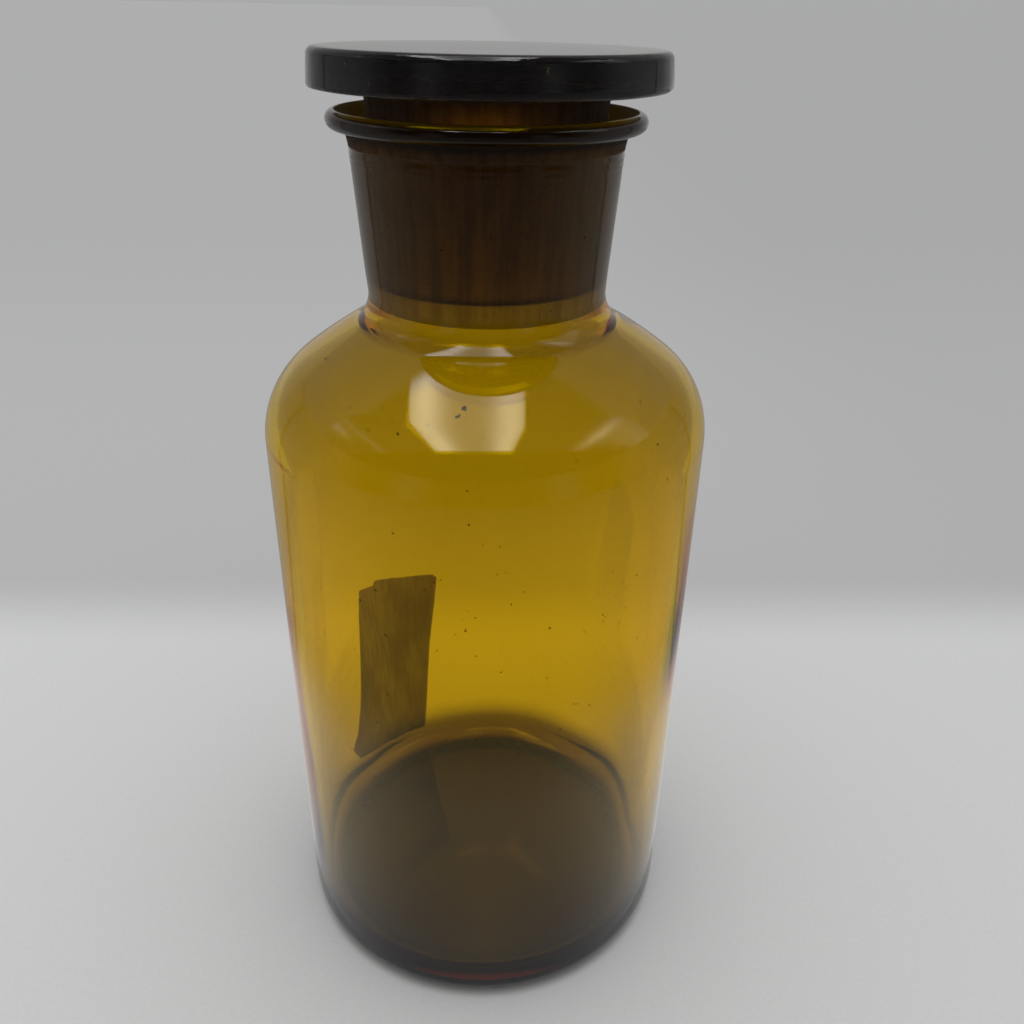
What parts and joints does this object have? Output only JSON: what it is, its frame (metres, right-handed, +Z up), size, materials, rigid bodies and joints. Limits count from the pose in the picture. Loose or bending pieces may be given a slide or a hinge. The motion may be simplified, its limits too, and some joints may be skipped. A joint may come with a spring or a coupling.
{
  "type": "reagent bottle",
  "caption": "Wide-mouth amber glass reagent bottle: cylindrical body, round shoulder, short conical neck with a rolled lip, and a flat-headed ground stopper that lifts straight out.",
  "frame": {"origin": "centre of the standing ring, on the surface the bottle stands on", "axes": "+Z up along the bottle's axis, front towards -Y, label scrap at the back on the -X side"},
  "size_m": [0.102, 0.102, 0.2217],
  "materials": {
    "bottle_glass": "clear amber glass, fire polished outside, ground matt in the neck",
    "stopper_glass": "pressed amber glass, glossy head, plug ground matt",
    "old_paper": "matt, browned and scuffed paper"
  },
  "bodies": {
    "bottle": {"bottle": "bottle_glass", "label_scrap": "old_paper"},
    "stopper": {"stopper": "stopper_glass"}
  },
  "joints": [
    {"name": "stopper_lift", "type": "slide", "parent": "bottle", "child": "stopper", "axis": [0, 0, 1], "range_m": [0, 0.05]}
  ]
}
